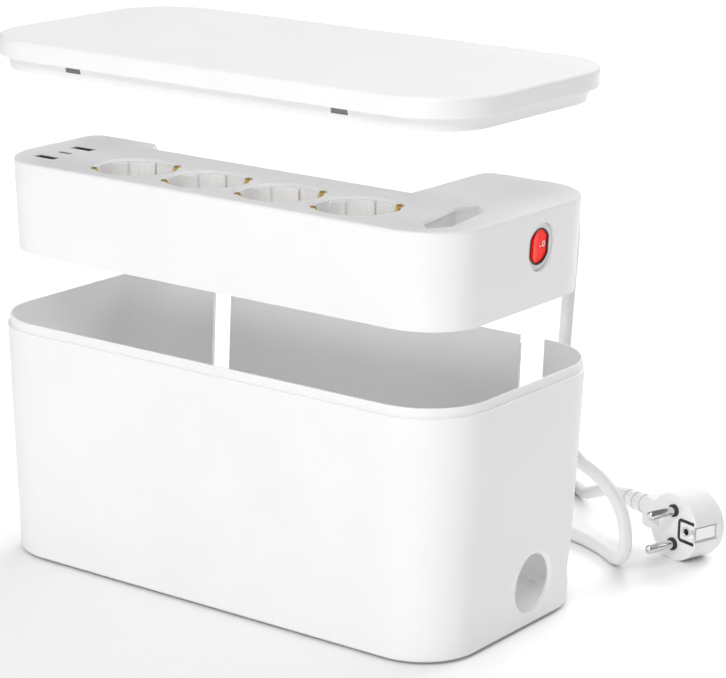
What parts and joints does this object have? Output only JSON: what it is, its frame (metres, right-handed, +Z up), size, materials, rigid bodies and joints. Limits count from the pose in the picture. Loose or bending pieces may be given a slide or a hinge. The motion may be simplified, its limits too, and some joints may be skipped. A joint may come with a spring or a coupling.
{
  "type": "cable management box",
  "caption": "Tapered tub with a lift-out socket strip, a lift-off lid, a rocker switch and a mains cord with plug.",
  "frame": {"origin": "on the table under the middle of the box", "axes": "+X to the switch end, +Y to the back wall with the cord slots, +Z up"},
  "size_m": [0.3263, 0.3086, 0.2811],
  "materials": {
    "white_shell": "satin",
    "white_socket": "gloss",
    "white_cord": "satin",
    "brass": "polished",
    "steel": "brushed",
    "nickel": "polished",
    "black_plastic": "matte",
    "red_plastic": "gloss",
    "grey_rubber": "matte",
    "circuit_board": "matte"
  },
  "bodies": {
    "box": {"box_shell": "white_shell", "rubber_feet": "grey_rubber", "table_cord": "white_cord", "cord_coil": "white_cord", "plug_cord": "white_cord", "plug_body": "white_cord", "plug_pins": "nickel", "plug_pin_collars": "black_plastic", "plug_earth_contacts": "nickel", "plug_relief": "white_cord"},
    "strip": {"strip_top_cover": "white_shell", "strip_base": "white_shell", "switch_housing": "white_shell", "euro_socket_insert": "white_socket", "socket_insert_1": "white_socket", "socket_insert_2": "white_socket", "socket_insert_3": "white_socket", "socket_insert_4": "white_socket", "live_bus_bar": "brass", "neutral_bus_bar": "brass", "earth_bus_bar": "brass", "earth_clip_1": "brass", "earth_clip_2": "brass", "earth_clip_3": "brass", "earth_clip_4": "brass", "switch_terminals": "brass", "base_screws": "steel", "usb_a_port_1": "steel", "usb_a_port_2": "steel", "usb_c_port": "steel", "usb_a_tongue_1": "black_plastic", "usb_a_tongue_2": "black_plastic", "usb_c_tongue": "black_plastic", "usb_board": "circuit_board", "cord_gland": "white_cord", "strip_lead": "white_cord"},
    "lid": {"lid": "white_shell"},
    "rocker": {"switch_rocker": "red_plastic"}
  },
  "joints": [
    {"name": "strip_lift", "type": "slide", "parent": "box", "child": "strip", "axis": [0, 0, 1], "range_m": [-0.1441, 0], "deforming": ["strip_lead"]},
    {"name": "lid_lift", "type": "slide", "parent": "strip", "child": "lid", "axis": [0, 0, 1], "range_m": [0, 0.06]},
    {"name": "rocker_turn", "type": "hinge", "parent": "strip", "child": "rocker", "pos_m": [0.13966, 0.013, 0.19759], "axis": [0.0398, 0, 0.9992], "range_deg": [-14, 0]}
  ]
}
